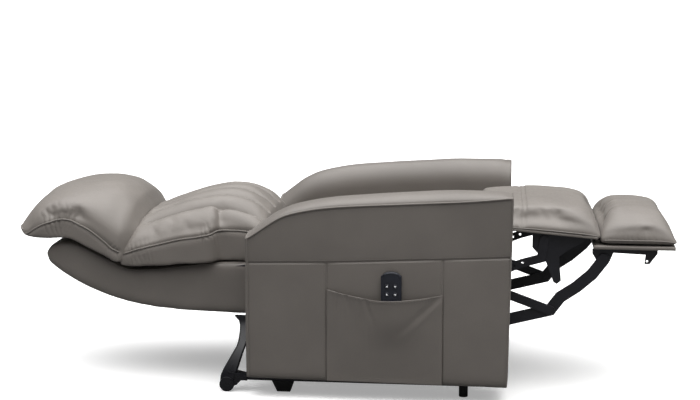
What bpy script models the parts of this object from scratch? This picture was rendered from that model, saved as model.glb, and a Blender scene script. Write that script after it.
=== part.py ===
"""Power lift recliner chair, lying flat: back down, footrest out, lift lowered.

The chair faces -Y and +Z is up. Side profiles are written as (forward, height), where forward is -Y,
so a positive turn about +X raises the back, folds the footrest down and tips the seat forward.
"""

import math

import bmesh
import bpy
from mathutils import Matrix, Vector

# Overall sizes, metres.
ARM_OUTER = 0.400
ARM_INNER = 0.262
ARM_REAR = -0.256
ARM_FRONT = 0.509
ARM_BOTTOM = 0.060
GAP = 0.0003

# Side mechanism: each flat steel part has a layer of its own, given as |x|.
FRAME_LAYER = (0.2375, 0.2425)
SWING_LAYER = (0.2315, 0.2355)
CARRY_LAYER = (0.2255, 0.2295)
REST_LAYER = (0.2195, 0.2235)
LIFT_FRONT_LAYER = (0.2445, 0.2485)
LIFT_REAR_LAYER = (0.2505, 0.2545)
PIN_R = 0.006
HOLE_R = 0.0063
HEAD_R = 0.009
HEAD = 0.0010
TUBE_R = 0.0125

# Pivots that join an actuator: two ears stand either side of it, with a pin across them.
EARS = (0.016, 0.020)
MOTOR_PIN_R = 0.005
MOTOR_PIN_HALF = 0.022

# Pivots, (forward, height).
BACK_PIVOT = (-0.200, 0.400)
FOOTREST_PIVOT = (0.539, 0.500)
SWING_FRONT = (0.384, 0.342)
SWING_REAR = (0.247, 0.307)
CARRY_FRONT = (0.636, 0.250)
CARRY_REAR = (0.499, 0.215)
CARRY_UPPER = (0.459, 0.307)
END_PIVOT = (0.791, 0.408)
MID_PIVOT = (0.614, 0.465)
LIFT_FRONT_BASE = (0.350, 0.058)
LIFT_FRONT_SEAT = (0.140, 0.118)
LIFT_REAR_BASE = (0.2431, 0.058)
LIFT_REAR_SEAT = (-0.100, 0.118)
LIFT_MOTOR_BASE = (-0.200, 0.085)
LIFT_ROD_END = (0.250, 0.160)
RECLINE_MOTOR_BASE = (0.250, 0.253)
RECLINE_ROD_END = (-0.215, 0.270)

# The seat is narrower in front, where the footrest brackets swing in beside it.
SEAT_NOTCH_F = 0.355
SEAT_NOTCH_X = 0.2160

# Base frame.
RAIL_X = (0.300, 0.330)
RAIL_Z = (0.0340, 0.0500)
RAIL_F = (-0.270, 0.425)
CROSSBAR_Z = (0.0300, 0.0450)
CROSSBAR_DEPTH = 0.030
FRONT_FOOT_F = 0.381
FRONT_FOOT_R = 0.0135
REAR_FOOT_HALF = 0.012

# Rear leg: rows of (height, rear edge, front edge, middle |x|), from the shoe up.
LEG_ROWS = (
    (0.0225, -0.3545, -0.3110, 0.330),
    (0.0490, -0.3520, -0.3060, 0.330),
    (0.0680, -0.3440, -0.3000, 0.323),
    (0.0895, -0.3320, -0.2940, 0.313),
    (0.1110, -0.3200, -0.2880, 0.301),
    (0.1290, -0.3100, -0.2820, 0.288),
    (0.1450, -0.3060, -0.2780, 0.274),
    (0.1660, -0.3050, -0.2755, 0.259),
    (0.1810, -0.3060, -0.2745, 0.247),
    (0.1960, -0.3100, -0.2740, 0.239),
    (0.2100, -0.3250, -0.2740, 0.234),
)
LEG_HALF = 0.010
LEG_CHAMFER = 0.004
SHOE_R = 0.0225
SHOE_F = -0.3325

# Handset and its pocket, on the outer face of the -X arm.
HANDSET_X = (-0.4160, -0.4005)
HANDSET_CENTRE = 0.170
HANDSET_WIDTH = 0.060
HANDSET_Z = (0.247, 0.397)
BUTTON_R = 0.0075
BUTTON_TRAVEL = 0.0015
BUTTON_PLACES = ((-0.012, 0.354), (0.012, 0.354), (-0.012, 0.330), (0.012, 0.330))
POCKET_F = (-0.021, 0.319)
POCKET_Z = (0.070, 0.322)
POCKET_WALL = 0.0015

COLOURS = {
    "upholstery": ((0.330, 0.305, 0.270), 0.45, 0.0),
    "black_steel": ((0.018, 0.018, 0.022), 0.40, 0.8),
    "gloss_black": ((0.012, 0.012, 0.015), 0.18, 0.0),
    "board": ((0.160, 0.140, 0.115), 0.70, 0.0),
    "rubber": ((0.020, 0.020, 0.020), 0.85, 0.0),
    "motor_plastic": ((0.030, 0.030, 0.032), 0.50, 0.0),
    "bright_steel": ((0.620, 0.620, 0.640), 0.25, 1.0),
    "handset_plastic": ((0.014, 0.015, 0.022), 0.45, 0.0),
    "button_rubber": ((0.040, 0.042, 0.050), 0.60, 0.0),
}


def clear_scene():
    for item in list(bpy.data.objects):
        bpy.data.objects.remove(item)


def make_materials():
    made = {}
    for name, (colour, roughness, metallic) in COLOURS.items():
        material = bpy.data.materials.new(name)
        material.use_nodes = True
        shader = material.node_tree.nodes["Principled BSDF"]
        shader.inputs["Base Color"].default_value = (*colour, 1.0)
        shader.inputs["Roughness"].default_value = roughness
        shader.inputs["Metallic"].default_value = metallic
        made[name] = material
    return made


def at(x, point):
    """World position of a (forward, height) point at sideways place x."""
    return Vector((x, -point[0], point[1]))


def body(name, bm, material, pivot=(0.0, 0.0), smooth_under=32.0):
    """Turn a bmesh into an object whose origin is on its pivot."""
    bmesh.ops.recalc_face_normals(bm, faces=bm.faces)
    origin = at(0.0, pivot)
    bmesh.ops.translate(bm, verts=bm.verts, vec=-origin)
    mesh = bpy.data.meshes.new(name)
    bm.to_mesh(mesh)
    bm.free()
    obj = bpy.data.objects.new(name, mesh)
    obj.location = origin
    mesh.materials.append(MATERIALS[material])
    bpy.context.scene.collection.objects.link(obj)
    mesh.shade_smooth()
    mesh.set_sharp_from_angle(angle=math.radians(smooth_under))
    return obj


def combine(obj, tools, operation):
    """Apply Boolean tools to an object and remove them."""
    for tool in tools:
        tool.hide_render = True
        tool.display_type = "WIRE"
        step = obj.modifiers.new(tool.name, "BOOLEAN")
        step.operation = operation
        step.solver = "EXACT"
        step.object = tool
    bpy.context.view_layer.update()
    graph = bpy.context.evaluated_depsgraph_get()
    mesh = bpy.data.meshes.new_from_object(obj.evaluated_get(graph))
    obj.modifiers.clear()
    obj.data = mesh
    for tool in tools:
        bpy.data.objects.remove(tool)
    mesh.set_sharp_from_angle(angle=math.radians(32.0))
    return obj


def prism(outline, low_x, high_x):
    """Extrude a closed (forward, height) outline from low_x to high_x."""
    bm = bmesh.new()
    face = bm.faces.new([bm.verts.new(at(low_x, point)) for point in outline])
    pushed = bmesh.ops.extrude_face_region(bm, geom=[face])
    moved = [item for item in pushed["geom"] if isinstance(item, bmesh.types.BMVert)]
    bmesh.ops.translate(bm, verts=moved, vec=(high_x - low_x, 0.0, 0.0))
    bmesh.ops.recalc_face_normals(bm, faces=bm.faces)
    return bm


def block(low, high, edge=0.0):
    """Box between two (x, forward, height) corners, with its edges cut back by edge."""
    outline = [(low[1], low[2]), (high[1], low[2]), (high[1], high[2]), (low[1], high[2])]
    bm = prism(outline, low[0], high[0])
    if edge:
        bmesh.ops.bevel(bm, geom=bm.edges[:], offset=edge, segments=1, affect="EDGES")
    return bm


def rod(start, end, radius, sides=16):
    """Round bar between two world points."""
    start = Vector(start)
    end = Vector(end)
    run = end - start
    bm = bmesh.new()
    turn = run.to_track_quat("Z", "Y").to_matrix().to_4x4()
    place = Matrix.Translation((start + end) / 2) @ turn
    bmesh.ops.create_cone(
        bm,
        cap_ends=True,
        segments=sides,
        radius1=radius,
        radius2=radius,
        depth=run.length,
        matrix=place,
    )
    return bm


def disc(point, radius, low_x, high_x, sides=16):
    """Round bar across the chair, centred on a (forward, height) point."""
    return rod(at(low_x, point), at(high_x, point), radius, sides)


def strip(points, width, end_steps=6):
    """Outline of a flat link: a band of one width along points, with round ends."""
    half = width / 2
    path = [Vector(point) for point in points]
    headings = [(b - a).normalized() for a, b in zip(path, path[1:])]
    left = []
    right = []
    for here, before, after in zip(path[1:-1], headings, headings[1:]):
        normal = Vector((-before.y - after.y, before.x + after.x)).normalized()
        reach = half / normal.dot(Vector((-before.y, before.x)))
        left.append(here + normal * reach)
        right.append(here - normal * reach)

    def cap(centre, heading):
        start = math.atan2(heading.y, heading.x) - math.pi / 2
        turns = [start + math.pi * step / end_steps for step in range(end_steps + 1)]
        return [centre + half * Vector((math.cos(turn), math.sin(turn))) for turn in turns]

    outline = cap(path[-1], headings[-1]) + left[::-1] + cap(path[0], -headings[0]) + right
    return [tuple(point) for point in outline]


def flat_part(name, outline, layer, side, material, pivot, holes=(), bars=()):
    """Flat steel part on one side: holes are points, bars are (point, radius, |x| from, |x| to)."""
    obj = body(name, prism(outline, side * layer[0], side * layer[1]), material, pivot)
    if bars:
        tools = [
            body(f"{name}_bar_{n}", disc(point, radius, side * a, side * b), material)
            for n, (point, radius, a, b) in enumerate(bars)
        ]
        combine(obj, tools, "UNION")
    if holes:
        span = (side * (layer[0] - 0.004), side * (layer[1] + 0.004))
        tools = [
            body(f"{name}_hole_{n}", disc(point, radius, *span), material)
            for n, (point, radius) in enumerate(holes)
        ]
        combine(obj, tools, "DIFFERENCE")
    return obj


def inward_pin(point, holder, passed):
    """Pin standing in on its holder layer, through the passed layer, with a head on each end."""
    middle = (holder[0] + holder[1]) / 2
    return [
        (point, PIN_R, middle, passed[0] - GAP - HEAD / 2),
        (point, HEAD_R, passed[0] - GAP, passed[0] - GAP - HEAD),
    ]


def outward_pin(point, holder, passed):
    """Pin standing out on its holder layer, through the passed layer, with a collar and a head."""
    middle = (holder[0] + holder[1]) / 2
    bars = [
        (point, PIN_R, middle, passed[1] + GAP + HEAD / 2),
        (point, HEAD_R, passed[1] + GAP, passed[1] + GAP + HEAD),
    ]
    if passed[0] - holder[1] > 0.003:
        bars.append((point, HEAD_R, middle, passed[0] - GAP))
    return bars


def skin(places):
    """Closed solid through rings of world points, all with the same number of points."""
    bm = bmesh.new()
    rings = [[bm.verts.new(place) for place in ring] for ring in places]
    for a, b in zip(rings, rings[1:]):
        for n in range(len(a)):
            m = (n + 1) % len(a)
            bm.faces.new((a[n], a[m], b[m], b[n]))
    bm.faces.new(rings[0])
    bm.faces.new(rings[-1][::-1])
    bmesh.ops.triangulate(bm, faces=bm.faces)
    return bm


def loft(sections):
    """Closed solid through cross-sections, each (forward, list of (x, height))."""
    return skin([[at(x, (f, z)) for x, z in ring] for f, ring in sections])


def crowned(half, bottom, shoulder, crest, crown_steps=6):
    """Cushion cross-section: flat below, upright sides, and a crown between the shoulders."""
    ring = [(-half, bottom), (half, bottom)]
    for step in range(crown_steps + 1):
        turn = math.pi * step / crown_steps
        ring.append((half * math.cos(turn), shoulder + (crest - shoulder) * math.sin(turn)))
    return ring


def cushion(name, rows, pivot=(0.0, 0.0)):
    """Cushion from rows of (forward, half width, bottom, shoulder, crest)."""
    return body(name, loft([(row[0], crowned(*row[1:])) for row in rows]), "upholstery", pivot)


def make_base():
    mid_x = sum(RAIL_X) / 2
    for word, side in SIDES:
        low = (side * RAIL_X[0], RAIL_F[0], RAIL_Z[0])
        high = (side * RAIL_X[1], RAIL_F[1], RAIL_Z[1])
        body(f"base_rail_{word}", block(low, high, 0.002), "black_steel")
        foot_top = RAIL_Z[0] - GAP
        sole = at(side * mid_x, (FRONT_FOOT_F, 0.0))
        cap = at(side * mid_x, (FRONT_FOOT_F, foot_top))
        body(f"front_foot_{word}", rod(sole, cap, FRONT_FOOT_R, 20), "rubber")
        wedge = [(-0.181, 0.0), (-0.141, 0.0), (-0.129, foot_top), (-0.197, foot_top)]
        span = (side * (mid_x - REAR_FOOT_HALF), side * (mid_x + REAR_FOOT_HALF))
        body(f"rear_foot_{word}", prism(wedge, *span), "rubber")
        make_rear_leg(word, side)
    for name, centre in (("front", 0.410), ("middle", 0.090), ("rear", -0.200)):
        edge = RAIL_X[0] - GAP
        low = (-edge, centre - CROSSBAR_DEPTH / 2, CROSSBAR_Z[0])
        high = (edge, centre + CROSSBAR_DEPTH / 2, CROSSBAR_Z[1])
        bar = body(f"base_crossbar_{name}", block(low, high, 0.002), "black_steel")
        if name == "rear":
            combine(bar, motor_clevis(), "UNION")


def motor_clevis():
    """Two ears and a pin that hold the rear end of the lift motor."""
    ears = [
        (-0.213, 0.031),
        (-0.187, 0.031),
        (-0.187, 0.092),
        (-0.193, 0.100),
        (-0.207, 0.100),
        (-0.213, 0.092),
    ]
    tools = [
        body(f"lift_ear_{word}", prism(ears, side * EARS[0], side * EARS[1]), "black_steel")
        for word, side in SIDES
    ]
    pin = disc(LIFT_MOTOR_BASE, MOTOR_PIN_R, -MOTOR_PIN_HALF, MOTOR_PIN_HALF, 12)
    return tools + [body("lift_motor_pin", pin, "black_steel")]


def leg_ring(side, height, rear, front, middle):
    """Level cross-section of the rear leg: a bar with its four corners cut."""
    half = LEG_HALF
    cut = LEG_CHAMFER
    corners = [
        (-half, rear + cut),
        (-half + cut, rear),
        (half - cut, rear),
        (half, rear + cut),
        (half, front - cut),
        (half - cut, front),
        (-half + cut, front),
        (-half, front - cut),
    ]
    return [at(side * (middle + x), (f, height)) for x, f in corners]


def make_rear_leg(word, side):
    """Curved rear leg that leans in under the back, with a round shoe and a tang to the rail's end."""
    blade = skin([leg_ring(side, *row) for row in LEG_ROWS])
    leg = body(f"rear_leg_{word}", blade, "gloss_black")
    shoe = disc((SHOE_F, SHOE_R), SHOE_R, side * 0.3165, side * 0.3435, 20)
    end = RAIL_F[0] - GAP
    tang = [(-0.330, 0.012), (-0.303, 0.020), (-0.290, 0.0345), (end, 0.0345), (end, 0.049), (-0.330, 0.062)]
    tools = [
        body("leg_shoe", shoe, "gloss_black"),
        body("leg_tang", prism(tang, side * RAIL_X[0], side * 0.338), "gloss_black"),
    ]
    combine(leg, tools, "UNION")


def make_lift():
    bracket = [
        (0.076, 0.0453),
        (0.424, 0.0453),
        (0.424, 0.056),
        (0.378, 0.078),
        (0.222, 0.078),
        (0.190, 0.060),
        (0.076, 0.060),
    ]
    for word, side in SIDES:
        bars = outward_pin(LIFT_FRONT_BASE, FRAME_LAYER, LIFT_FRONT_LAYER)
        bars += outward_pin(LIFT_REAR_BASE, FRAME_LAYER, LIFT_REAR_LAYER)
        name = f"lift_bracket_{word}"
        flat_part(name, bracket, FRAME_LAYER, side, "black_steel", (0.0, 0.0), bars=bars)
        flat_part(
            f"front_lift_link_{word}",
            strip([LIFT_FRONT_BASE, LIFT_FRONT_SEAT], 0.028),
            LIFT_FRONT_LAYER,
            side,
            "black_steel",
            LIFT_FRONT_BASE,
            holes=[(LIFT_FRONT_BASE, HOLE_R), (LIFT_FRONT_SEAT, HOLE_R)],
        )
        boss = [(LIFT_REAR_SEAT, HEAD_R, LIFT_REAR_LAYER[0] + 0.002, FRAME_LAYER[1] + GAP)]
        flat_part(
            f"rear_lift_link_{word}",
            strip([LIFT_REAR_BASE, LIFT_REAR_SEAT], 0.028),
            LIFT_REAR_LAYER,
            side,
            "black_steel",
            LIFT_REAR_BASE,
            holes=[(LIFT_REAR_BASE, HOLE_R)],
            bars=boss,
        )


def make_actuator(name, start, end, tube_length):
    """Electric actuator: a bored tube with a motor can on it, and a rod that slides in the tube."""
    foot = at(0.0, start)
    tip = at(0.0, end)
    along = (tip - foot).normalized()
    upward = Vector((1.0, 0.0, 0.0)).cross(along)
    upward = upward if upward.z > 0 else -upward
    case = rod(foot, foot + along * tube_length, 0.021, 20)
    tube = body(f"{name}_motor", case, "motor_plastic", start)
    can_start = foot + along * 0.040 + upward * 0.046
    can = rod(can_start, can_start + along * 0.110, 0.027, 20)
    neck_start = foot + along * 0.055 + upward * 0.010
    neck = rod(neck_start, neck_start + upward * 0.035, 0.016, 12)
    tools = [body("can", can, "motor_plastic"), body("neck", neck, "motor_plastic")]
    combine(tube, tools, "UNION")
    bore = rod(foot + along * 0.050, foot + along * (tube_length + 0.010), 0.0105, 16)
    eye = disc(start, MOTOR_PIN_R + GAP, -0.04, 0.04, 16)
    cutters = [body("bore", bore, "motor_plastic"), body("eye", eye, "motor_plastic")]
    for word, side in SIDES:
        low = (side * (EARS[0] - 0.0005), start[0] - 0.022, start[1] - 0.030)
        high = (side * 0.040, start[0] + 0.022, start[1] + 0.030)
        cutters.append(body(f"cheek_{word}", block(low, high), "motor_plastic"))
    combine(tube, cutters, "DIFFERENCE")
    bar = rod(foot + along * 0.060, tip, 0.0100, 16)
    shaft = body(f"{name}_rod", bar, "bright_steel", start)
    knuckle = body("knuckle", disc(end, 0.012, -0.0125, 0.0125, 16), "bright_steel")
    pin = body("pin", disc(end, MOTOR_PIN_R, -0.0155, 0.0155, 12), "bright_steel")
    combine(shaft, [knuckle, pin], "UNION")


def make_chassis():
    plate = [
        (-0.120, 0.102),
        (0.156, 0.102),
        (0.178, 0.135),
        (0.272, 0.280),
        (0.402, 0.324),
        (0.406, 0.3715),
        (-0.160, 0.3715),
        (-0.180, 0.404),
        (-0.188, 0.416),
        (-0.200, 0.420),
        (-0.212, 0.416),
        (-0.220, 0.404),
        (-0.2195, 0.392),
        (-0.134, 0.300),
        (-0.128, 0.110),
    ]
    for word, side in SIDES:
        bars = inward_pin(SWING_FRONT, FRAME_LAYER, SWING_LAYER)
        bars += inward_pin(SWING_REAR, FRAME_LAYER, SWING_LAYER)
        bars += outward_pin(LIFT_FRONT_SEAT, FRAME_LAYER, LIFT_FRONT_LAYER)
        bars += outward_pin(BACK_PIVOT, FRAME_LAYER, LIFT_FRONT_LAYER)
        name = f"side_plate_{word}"
        flat_part(name, plate, FRAME_LAYER, side, "black_steel", LIFT_FRONT_SEAT, bars=bars)
    make_front_tube()
    reach = FRAME_LAYER[0] - GAP
    tube = disc((-0.105, 0.205), TUBE_R, -reach, reach)
    body("chassis_tube_rear", tube, "black_steel", LIFT_FRONT_SEAT)
    half = ARM_INNER - 0.0008
    board = block((-half, -0.125, 0.372), (half, 0.455, 0.388), 0.002)
    deck = body("seat_deck", board, "board", LIFT_FRONT_SEAT)
    notches = []
    for word, side in SIDES:
        notch = block((side * SEAT_NOTCH_X, SEAT_NOTCH_F, 0.360), (side * 0.300, 0.500, 0.400))
        notches.append(body(f"notch_{word}", notch, "board"))
    combine(deck, notches, "DIFFERENCE")
    make_control_box()


def make_front_tube():
    """Cross tube with two drop plates: the recline motor hangs on them and the lift rod ends between them."""
    reach = FRAME_LAYER[0] - GAP
    bar = disc((0.309, 0.356), TUBE_R, -reach, reach)
    tube = body("chassis_tube_front", bar, "black_steel", LIFT_FRONT_SEAT)
    drop = [(0.232, 0.145), (0.268, 0.145), (0.274, 0.250), (0.322, 0.345), (0.298, 0.360), (0.232, 0.270)]
    plates = [
        body(f"drop_{word}", prism(drop, side * EARS[0], side * EARS[1]), "black_steel")
        for word, side in SIDES
    ]
    pin = disc(RECLINE_MOTOR_BASE, MOTOR_PIN_R, -MOTOR_PIN_HALF, MOTOR_PIN_HALF, 12)
    tools = plates + [body("recline_motor_pin", pin, "black_steel")]
    for word, side in SIDES:
        head = disc(LIFT_ROD_END, HEAD_R, side * 0.018, side * 0.023)
        tools.append(body(f"rod_head_{word}", head, "black_steel"))
    combine(tube, tools, "UNION")


def make_control_box():
    """Control box under the deck, with a recessed power inlet in its rear face."""
    case = block((0.080, -0.060, 0.325), (0.200, 0.090, 0.3715), 0.003)
    box = body("control_box", case, "motor_plastic")
    inlet = block((0.125, -0.080, 0.338), (0.155, -0.045, 0.358))
    combine(box, [body("inlet", inlet, "motor_plastic")], "DIFFERENCE")


def arm_ring(top_outer, top_crest, front_pull):
    """Arm cross-section for x > 0: flat sides and a soft crowned top."""
    outer = ARM_OUTER - front_pull
    inner = ARM_INNER
    crest_x = (outer + inner) / 2
    inner_top = top_outer - 0.004
    return [
        (inner, ARM_BOTTOM),
        (outer, ARM_BOTTOM),
        (outer, top_outer - 0.012),
        (outer - 0.006, top_outer),
        (crest_x + 0.034, top_crest - 0.006),
        (crest_x, top_crest),
        (crest_x - 0.034, top_crest - 0.006),
        (inner + 0.006, inner_top),
        (inner, inner_top - 0.014),
    ]


def make_arms():
    rows = [
        (ARM_REAR, 0.486, 0.498, 0.004),
        (ARM_REAR + 0.010, 0.494, 0.508, 0.0),
        (-0.175, 0.531, 0.556, 0.0),
        (-0.117, 0.561, 0.580, 0.0),
        (-0.004, 0.581, 0.602, 0.0),
        (0.109, 0.590, 0.612, 0.0),
        (0.221, 0.597, 0.620, 0.0),
        (0.361, 0.603, 0.628, 0.0),
        (0.479, 0.612, 0.626, 0.0),
        (ARM_FRONT - 0.008, 0.613, 0.624, 0.0),
        (ARM_FRONT, 0.605, 0.614, 0.004),
    ]
    for word, side in SIDES:
        sections = [(f, [(side * x, z) for x, z in arm_ring(*sizes)]) for f, *sizes in rows]
        body(f"arm_{word}", loft(sections), "upholstery", LIFT_FRONT_SEAT)


def make_pocket():
    """Flat open-topped pouch on the outer face of the -X arm."""
    outer_x = HANDSET_X[0] - GAP - POCKET_WALL
    pouch = block((outer_x, POCKET_F[0], POCKET_Z[0]), (HANDSET_X[1], POCKET_F[1], POCKET_Z[1]))
    pocket = body("handset_pocket", pouch, "upholstery", LIFT_FRONT_SEAT)
    hollow = block(
        (outer_x + POCKET_WALL, POCKET_F[0] + 0.003, POCKET_Z[0] + 0.004),
        (HANDSET_X[1] + 0.010, POCKET_F[1] - 0.003, POCKET_Z[1] + 0.010),
    )
    combine(pocket, [body("hollow", hollow, "upholstery")], "DIFFERENCE")


def make_handset():
    half = HANDSET_WIDTH / 2
    low_z, high_z = HANDSET_Z
    outline = [(HANDSET_CENTRE - half + 0.004, low_z), (HANDSET_CENTRE + half - 0.004, low_z)]
    outline += [(HANDSET_CENTRE + half, low_z + 0.010), (HANDSET_CENTRE + half, high_z - 0.012)]
    steps = 6
    for step in range(steps + 1):
        turn = math.pi * step / steps
        across = (half - 0.006) * math.cos(turn)
        outline.append((HANDSET_CENTRE + across, high_z - 0.010 + 0.010 * math.sin(turn)))
    outline += [(HANDSET_CENTRE - half, high_z - 0.012), (HANDSET_CENTRE - half, low_z + 0.010)]
    bm = prism(outline, *HANDSET_X)
    bmesh.ops.bevel(bm, geom=bm.edges[:], offset=0.002, segments=1, affect="EDGES")
    handset = body("handset", bm, "handset_plastic", (HANDSET_CENTRE, low_z))
    wells = []
    for n, (offset, z) in enumerate(BUTTON_PLACES):
        well = disc((HANDSET_CENTRE + offset, z), BUTTON_R + 0.0003, -0.430, HANDSET_X[0] + 0.0045)
        wells.append(body(f"well_{n}", well, "handset_plastic"))
    combine(handset, wells, "DIFFERENCE")
    names = ("back_up", "back_down", "lift_up", "lift_down")
    for name, (offset, z) in zip(names, BUTTON_PLACES):
        place = (HANDSET_CENTRE + offset, z)
        cap = disc(place, BUTTON_R, HANDSET_X[0] - 0.0016, HANDSET_X[0] + 0.0025)
        body(f"button_{name}", cap, "button_rubber", place)


def make_seat():
    rows = [
        (-0.115, 0.254, 0.389, 0.430, 0.445),
        (-0.075, 0.256, 0.389, 0.445, 0.468),
        (0.100, 0.256, 0.389, 0.455, 0.480),
        (SEAT_NOTCH_F - 0.004, 0.256, 0.389, 0.465, 0.499),
        (SEAT_NOTCH_F, SEAT_NOTCH_X, 0.389, 0.465, 0.500),
        (0.430, SEAT_NOTCH_X, 0.389, 0.465, 0.500),
        (0.459, SEAT_NOTCH_X - 0.003, 0.389, 0.445, 0.475),
    ]
    cushion("seat_cushion", rows, LIFT_FRONT_SEAT)


def make_back():
    bracket = [
        (-0.186, 0.392),
        (-0.186, 0.408),
        (-0.194, 0.416),
        (-0.206, 0.416),
        (-0.2145, 0.408),
        (-0.2165, 0.383),
        (-0.335, 0.366),
        (-0.345, 0.350),
        (-0.335, 0.334),
        (-0.230, 0.345),
        (-0.196, 0.375),
    ]
    shell = [
        (-0.262, 0.220),
        (-0.262, 0.384),
        (-0.391, 0.380),
        (-0.543, 0.358),
        (-0.631, 0.350),
        (-0.662, 0.354),
        (-0.817, 0.431),
        (-0.858, 0.436),
        (-0.895, 0.425),
        (-0.914, 0.396),
        (-0.905, 0.366),
        (-0.790, 0.289),
        (-0.649, 0.241),
        (-0.493, 0.223),
        (-0.306, 0.215),
    ]
    for word, side in SIDES:
        flat_part(
            f"back_bracket_{word}",
            bracket,
            LIFT_FRONT_LAYER,
            side,
            "black_steel",
            BACK_PIVOT,
            holes=[(BACK_PIVOT, HOLE_R)],
        )
    body("back_shell", prism(shell, -0.243, 0.243), "upholstery", BACK_PIVOT)
    make_rod_clevis()
    cushion(
        "back_cushion",
        [
            (-0.653, 0.288, 0.3600, 0.412, 0.515),
            (-0.600, 0.290, 0.3610, 0.425, 0.512),
            (-0.541, 0.290, 0.3640, 0.443, 0.530),
            (-0.476, 0.290, 0.3720, 0.458, 0.557),
            (-0.388, 0.290, 0.3840, 0.471, 0.576),
            (-0.378, 0.288, 0.3850, 0.476, 0.577),
            (-0.374, 0.250, 0.3855, 0.481, 0.578),
            (-0.330, 0.250, 0.3860, 0.480, 0.580),
            (-0.274, 0.250, 0.3880, 0.477, 0.570),
            (-0.236, 0.249, 0.3890, 0.465, 0.545),
            (-0.223, 0.246, 0.3890, 0.440, 0.490),
        ],
        BACK_PIVOT,
    )
    cushion(
        "head_pillow",
        [
            (-1.006, 0.255, 0.4700, 0.482, 0.502),
            (-0.975, 0.283, 0.4440, 0.455, 0.535),
            (-0.896, 0.290, 0.4420, 0.504, 0.575),
            (-0.843, 0.290, 0.4460, 0.515, 0.592),
            (-0.772, 0.290, 0.4140, 0.485, 0.603),
            (-0.675, 0.289, 0.3660, 0.410, 0.580),
            (-0.656, 0.286, 0.3620, 0.405, 0.555),
        ],
        BACK_PIVOT,
    )


def make_rod_clevis():
    """Bracket on the front of the back shell, with the recline rod between its two ears."""
    front = -0.262 + GAP
    plate = body(
        "recline_clevis",
        block((-0.030, front, 0.236), (0.030, front + 0.004, 0.304)),
        "black_steel",
        BACK_PIVOT,
    )
    ears = [
        (front + 0.002, 0.240),
        (-0.212, 0.254),
        (-0.201, 0.270),
        (-0.212, 0.286),
        (front + 0.002, 0.300),
    ]
    tools = [
        body(f"clevis_ear_{word}", prism(ears, side * EARS[0], side * EARS[1]), "black_steel")
        for word, side in SIDES
    ]
    combine(plate, tools, "UNION")


def board_height(forward):
    """Underside of the sloping calf board."""
    return 0.492 - 0.085 * (forward - ARM_FRONT)


def make_footrest():
    ends = (0.511, 0.771)
    outline = [(f, board_height(f)) for f in ends]
    outline += [(f, board_height(f) + 0.010) for f in reversed(ends)]
    body("calf_board", prism(outline, -0.244, 0.244), "board", FOOTREST_PIVOT)
    body("foot_board", block((-0.245, 0.760, 0.4400), (0.245, 0.999, 0.4535), 0.002), "board", FOOTREST_PIVOT)
    mid = [
        (0.579, board_height(0.579) - 0.0005),
        (0.734, board_height(0.734) - 0.0005),
        (0.734, 0.462),
        (0.681, 0.430),
        (0.659, 0.412),
        (0.6665, 0.340),
        (0.654, 0.329),
        (0.644, 0.335),
        (0.621, 0.395),
        (0.579, 0.440),
    ]
    outer = [
        (0.757, 0.4395),
        (0.949, 0.4395),
        (0.949, 0.428),
        (0.926, 0.396),
        (0.911, 0.396),
        (0.914, 0.424),
        (0.819, 0.428),
        (0.809, 0.402),
        (0.801, 0.393),
        (0.781, 0.393),
        (0.771, 0.402),
        (0.757, 0.425),
    ]
    for word, side in SIDES:
        flat_part(
            f"mid_bracket_{word}",
            mid,
            REST_LAYER,
            side,
            "black_steel",
            FOOTREST_PIVOT,
            holes=[(MID_PIVOT, HOLE_R)],
        )
        flat_part(
            f"outer_bracket_{word}",
            outer,
            REST_LAYER,
            side,
            "black_steel",
            FOOTREST_PIVOT,
            holes=[(END_PIVOT, HOLE_R), ((0.9185, 0.4045), 0.0035)],
        )
    reach = REST_LAYER[0] - GAP
    body("footrest_cross_bar", disc((0.679, 0.455), 0.008, -reach, reach), "black_steel", FOOTREST_PIVOT)
    cushion(
        "calf_pad",
        [
            (0.511, 0.248, 0.5030, 0.524, 0.552),
            (0.579, 0.250, 0.4975, 0.530, 0.565),
            (0.659, 0.250, 0.4905, 0.522, 0.560),
            (0.729, 0.250, 0.4845, 0.510, 0.548),
            (0.772, 0.246, 0.4815, 0.500, 0.522),
        ],
        FOOTREST_PIVOT,
    )
    cushion(
        "foot_pad",
        [
            (0.781, 0.246, 0.4550, 0.484, 0.510),
            (0.819, 0.250, 0.4545, 0.492, 0.528),
            (0.889, 0.250, 0.4545, 0.492, 0.530),
            (0.959, 0.250, 0.4545, 0.485, 0.522),
            (0.996, 0.248, 0.4545, 0.470, 0.488),
            (1.006, 0.244, 0.4580, 0.463, 0.470),
        ],
        FOOTREST_PIVOT,
    )


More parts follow.
